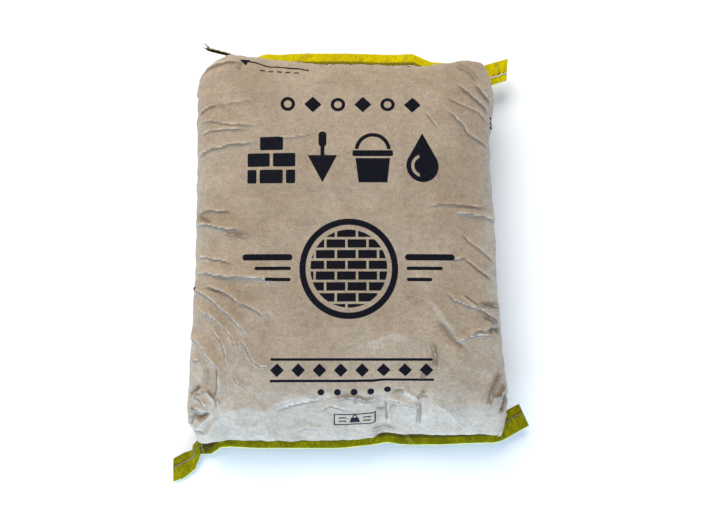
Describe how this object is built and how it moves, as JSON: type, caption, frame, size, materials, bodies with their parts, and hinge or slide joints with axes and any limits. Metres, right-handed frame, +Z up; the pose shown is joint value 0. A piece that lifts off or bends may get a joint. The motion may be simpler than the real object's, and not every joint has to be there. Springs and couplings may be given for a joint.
{
  "type": "cement bag",
  "caption": "Filled paper cement sack lying flat, gusseted, sewn shut at both ends through folded yellow crepe tape.",
  "frame": {"origin": "on the flat underside, under the middle of the sack", "axes": "+X across the sack, +Y along it towards the top end, +Z up out of the printed face"},
  "size_m": [0.4746, 0.5734, 0.108],
  "materials": {
    "kraft_paper": "matt brown kraft paper",
    "yellow_crepe_paper": "creped yellow paper tape",
    "sewing_thread": "undyed twisted thread"
  },
  "bodies": {
    "root": {"paper_sack": "kraft_paper", "bottom_tape": "yellow_crepe_paper", "top_tape": "yellow_crepe_paper", "bottom_seam_thread": "sewing_thread", "top_seam_thread": "sewing_thread"}
  },
  "joints": []
}
